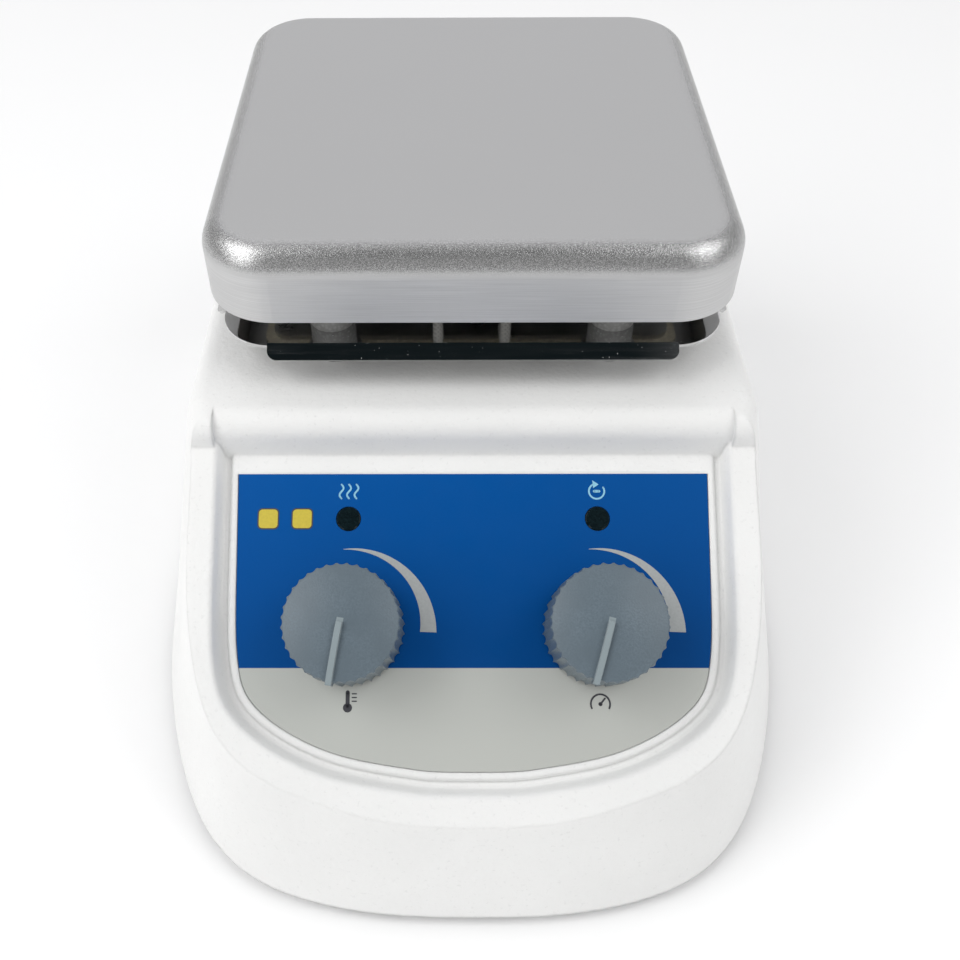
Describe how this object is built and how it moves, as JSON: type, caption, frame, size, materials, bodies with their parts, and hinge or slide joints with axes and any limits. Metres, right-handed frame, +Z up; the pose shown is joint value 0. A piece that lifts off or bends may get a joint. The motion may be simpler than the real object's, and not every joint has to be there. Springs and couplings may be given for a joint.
{
  "type": "heated magnetic stirrer",
  "caption": "Bench magnetic stirrer with a square heated plate over a white housing, a sloped panel with heat and speed knobs, and a magnet drive inside.",
  "frame": {"origin": "on the table, under the middle of the housing", "axes": "+Z up, +Y towards the rear panel, +X to the right of a person facing the knobs"},
  "size_m": [0.163, 0.221, 0.114],
  "materials": {
    "casing": "white powder coat with a fine orange-peel texture",
    "base_sheet": "light grey paint",
    "foot_rubber": "matt black",
    "fastener_steel": "zinc plated",
    "panel_film": "printed overlay, blue over light grey",
    "plate_aluminium": "fine blasted top, satin sides",
    "mica": "pressed mica",
    "clamp_steel": "rolled sheet",
    "cutout_case": "phenolic",
    "polished_steel": "mirror-polished stainless sheet",
    "spacer_ceramic": "unglazed",
    "spacer_steel": "turned",
    "glass_sleeve": "woven glass sleeve",
    "motor_steel": "plated",
    "motor_plastic": "moulded",
    "bronze": "sintered",
    "ferrite": "sintered",
    "carbon": "pressed carbon",
    "copper": "enamelled and bare copper",
    "holder_aluminium": "turned",
    "magnet_nickel": "nickel plated",
    "pot_case": "plated",
    "pot_shaft": "drawn",
    "knob_plastic": "blue-grey moulding",
    "lamp_window": "dark smoked window",
    "diode_epoxy": "tinted epoxy",
    "circuit_board": "solder mask",
    "terminal_plastic": "moulded",
    "core_steel": "stacked laminations",
    "winding_tape": "wrapped tape",
    "capacitor_sleeve": "shrunk sleeve",
    "sink_aluminium": "black anodised",
    "triac_epoxy": "moulded epoxy",
    "inlet_plastic": "moulded",
    "contact_metal": "nickel plated",
    "fuse_glass": "clear tube",
    "rocker_plastic": "polished moulding"
  },
  "bodies": {
    "stirrer": {"housing_shell": "casing", "base_plate": "base_sheet", "rubber_feet": "foot_rubber", "case_screws": "fastener_steel", "clamp_nuts": "fastener_steel", "plate_screws": "fastener_steel", "bracket_screws": "fastener_steel", "motor_screws": "fastener_steel", "board_spacers": "fastener_steel", "board_screws": "fastener_steel", "inlet_screws": "fastener_steel", "inlet_nuts": "fastener_steel", "pot_nuts": "fastener_steel", "rocker_pin": "fastener_steel", "control_label": "panel_film", "hot_plate": "plate_aluminium", "heating_element": "mica", "mica_pad": "mica", "clamp_plate": "clamp_steel", "motor_bracket": "clamp_steel", "thermal_cutout": "cutout_case", "heat_shield": "polished_steel", "upper_spacers": "spacer_ceramic", "lower_spacers": "spacer_steel", "heater_leads": "glass_sleeve", "motor_can": "motor_steel", "motor_end_bell": "motor_plastic", "motor_bearings": "bronze", "field_magnets": "ferrite", "motor_brushes": "carbon", "heat_pot_body": "pot_case", "speed_pot_body": "pot_case", "heat_lamp_lens": "lamp_window", "stir_lamp_lens": "lamp_window", "lamp_diodes": "diode_epoxy", "control_board": "circuit_board", "terminal_block": "terminal_plastic", "transformer_core": "core_steel", "transformer_winding": "winding_tape", "smoothing_capacitor": "capacitor_sleeve", "heat_sink": "sink_aluminium", "heater_triac": "triac_epoxy", "inlet_body": "inlet_plastic", "fuse_holder": "inlet_plastic", "fuse_cap": "inlet_plastic", "switch_body": "inlet_plastic", "inlet_pins": "contact_metal", "fuse_link": "fuse_glass"},
    "heat_dial": {"heat_knob": "knob_plastic", "heat_pot_shaft": "pot_shaft"},
    "speed_dial": {"speed_knob": "knob_plastic", "speed_pot_shaft": "pot_shaft"},
    "rotor": {"motor_shaft": "motor_steel", "armature_core": "motor_steel", "armature_winding": "copper", "commutator": "copper", "magnet_holder": "holder_aluminium", "drive_magnets": "magnet_nickel", "set_screw": "fastener_steel"},
    "rocker": {"switch_rocker": "rocker_plastic"}
  },
  "joints": [
    {"name": "heat_turn", "type": "hinge", "parent": "stirrer", "child": "heat_dial", "pos_m": [-0.0276, -0.0649, 0.04884], "axis": [0, 0.515, -0.8572], "range_deg": [0, 300]},
    {"name": "speed_turn", "type": "hinge", "parent": "stirrer", "child": "speed_dial", "pos_m": [0.0276, -0.0649, 0.04884], "axis": [0, 0.515, -0.8572], "range_deg": [0, 300]},
    {"name": "rotor_spin", "type": "hinge", "parent": "stirrer", "child": "rotor", "pos_m": [0, 0.0432, 0.05], "axis": [0, 0, 1], "continuous": true},
    {"name": "power_rock", "type": "hinge", "parent": "stirrer", "child": "rocker", "pos_m": [0.036, 0.103, 0.028], "axis": [1, 0, 0], "range_deg": [0, 18]}
  ]
}
